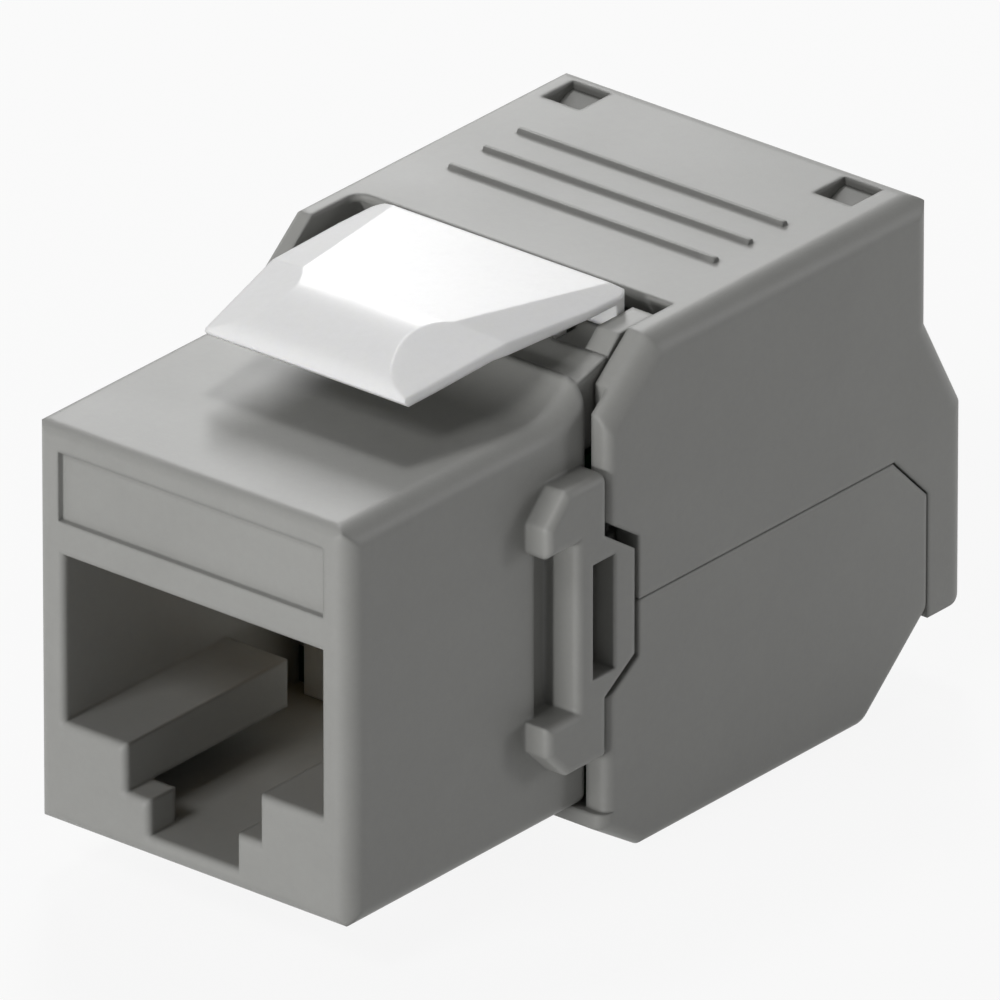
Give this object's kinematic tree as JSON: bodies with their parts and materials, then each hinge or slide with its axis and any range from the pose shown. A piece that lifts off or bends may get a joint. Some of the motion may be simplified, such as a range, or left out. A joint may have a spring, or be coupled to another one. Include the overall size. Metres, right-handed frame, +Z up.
{
  "type": "keystone jack",
  "caption": "Tool-less RJ45 keystone jack: port with sprung contacts, flexible panel latch and a hinged lid that closes over its wire terminals.",
  "frame": {"origin": "middle of the footprint, at the underside of the rear base that the jack rests on", "axes": "+Y from the plug opening towards the cable entry, +X across, +Z up through the panel latch"},
  "size_m": [0.0174, 0.0344, 0.0217],
  "materials": {
    "grey_shell": "fine satin moulded",
    "white_latch": "smooth moulded",
    "pale_insert": "moulded",
    "clear_white_cap": "moulded",
    "green_board": "solder mask",
    "gold_contact": "gold plated",
    "tin_terminal": "tin plated"
  },
  "bodies": {
    "housing": {"port_housing": "grey_shell", "rear_base": "grey_shell", "terminal_block": "pale_insert", "wire_cap": "clear_white_cap", "contact_carrier": "pale_insert", "circuit_board": "green_board", "idc_1": "tin_terminal", "idc_2": "tin_terminal", "idc_3": "tin_terminal", "idc_4": "tin_terminal", "idc_5": "tin_terminal", "idc_6": "tin_terminal", "idc_7": "tin_terminal", "idc_8": "tin_terminal"},
    "lid": {"press_lid": "grey_shell"},
    "latch": {"panel_latch": "white_latch"},
    "contacts": {"contact_1": "gold_contact", "contact_2": "gold_contact", "contact_3": "gold_contact", "contact_4": "gold_contact", "contact_5": "gold_contact", "contact_6": "gold_contact", "contact_7": "gold_contact", "contact_8": "gold_contact"}
  },
  "joints": [
    {"name": "lid_hinge", "type": "hinge", "parent": "housing", "child": "lid", "pos_m": [0, -0.001, 0.01852], "axis": [1, 0, 0], "range_deg": [0, 45]},
    {"name": "latch_flex", "type": "hinge", "parent": "housing", "child": "latch", "pos_m": [0, -0.00085, 0.01957], "axis": [1, 0, 0], "range_deg": [0, 8], "stiffness_Nm_per_rad": 0.05},
    {"name": "contact_flex", "type": "hinge", "parent": "housing", "child": "contacts", "pos_m": [0, -0.00265, 0.01467], "axis": [1, 0, 0], "range_deg": [-7, 0], "stiffness_Nm_per_rad": 0.02}
  ]
}
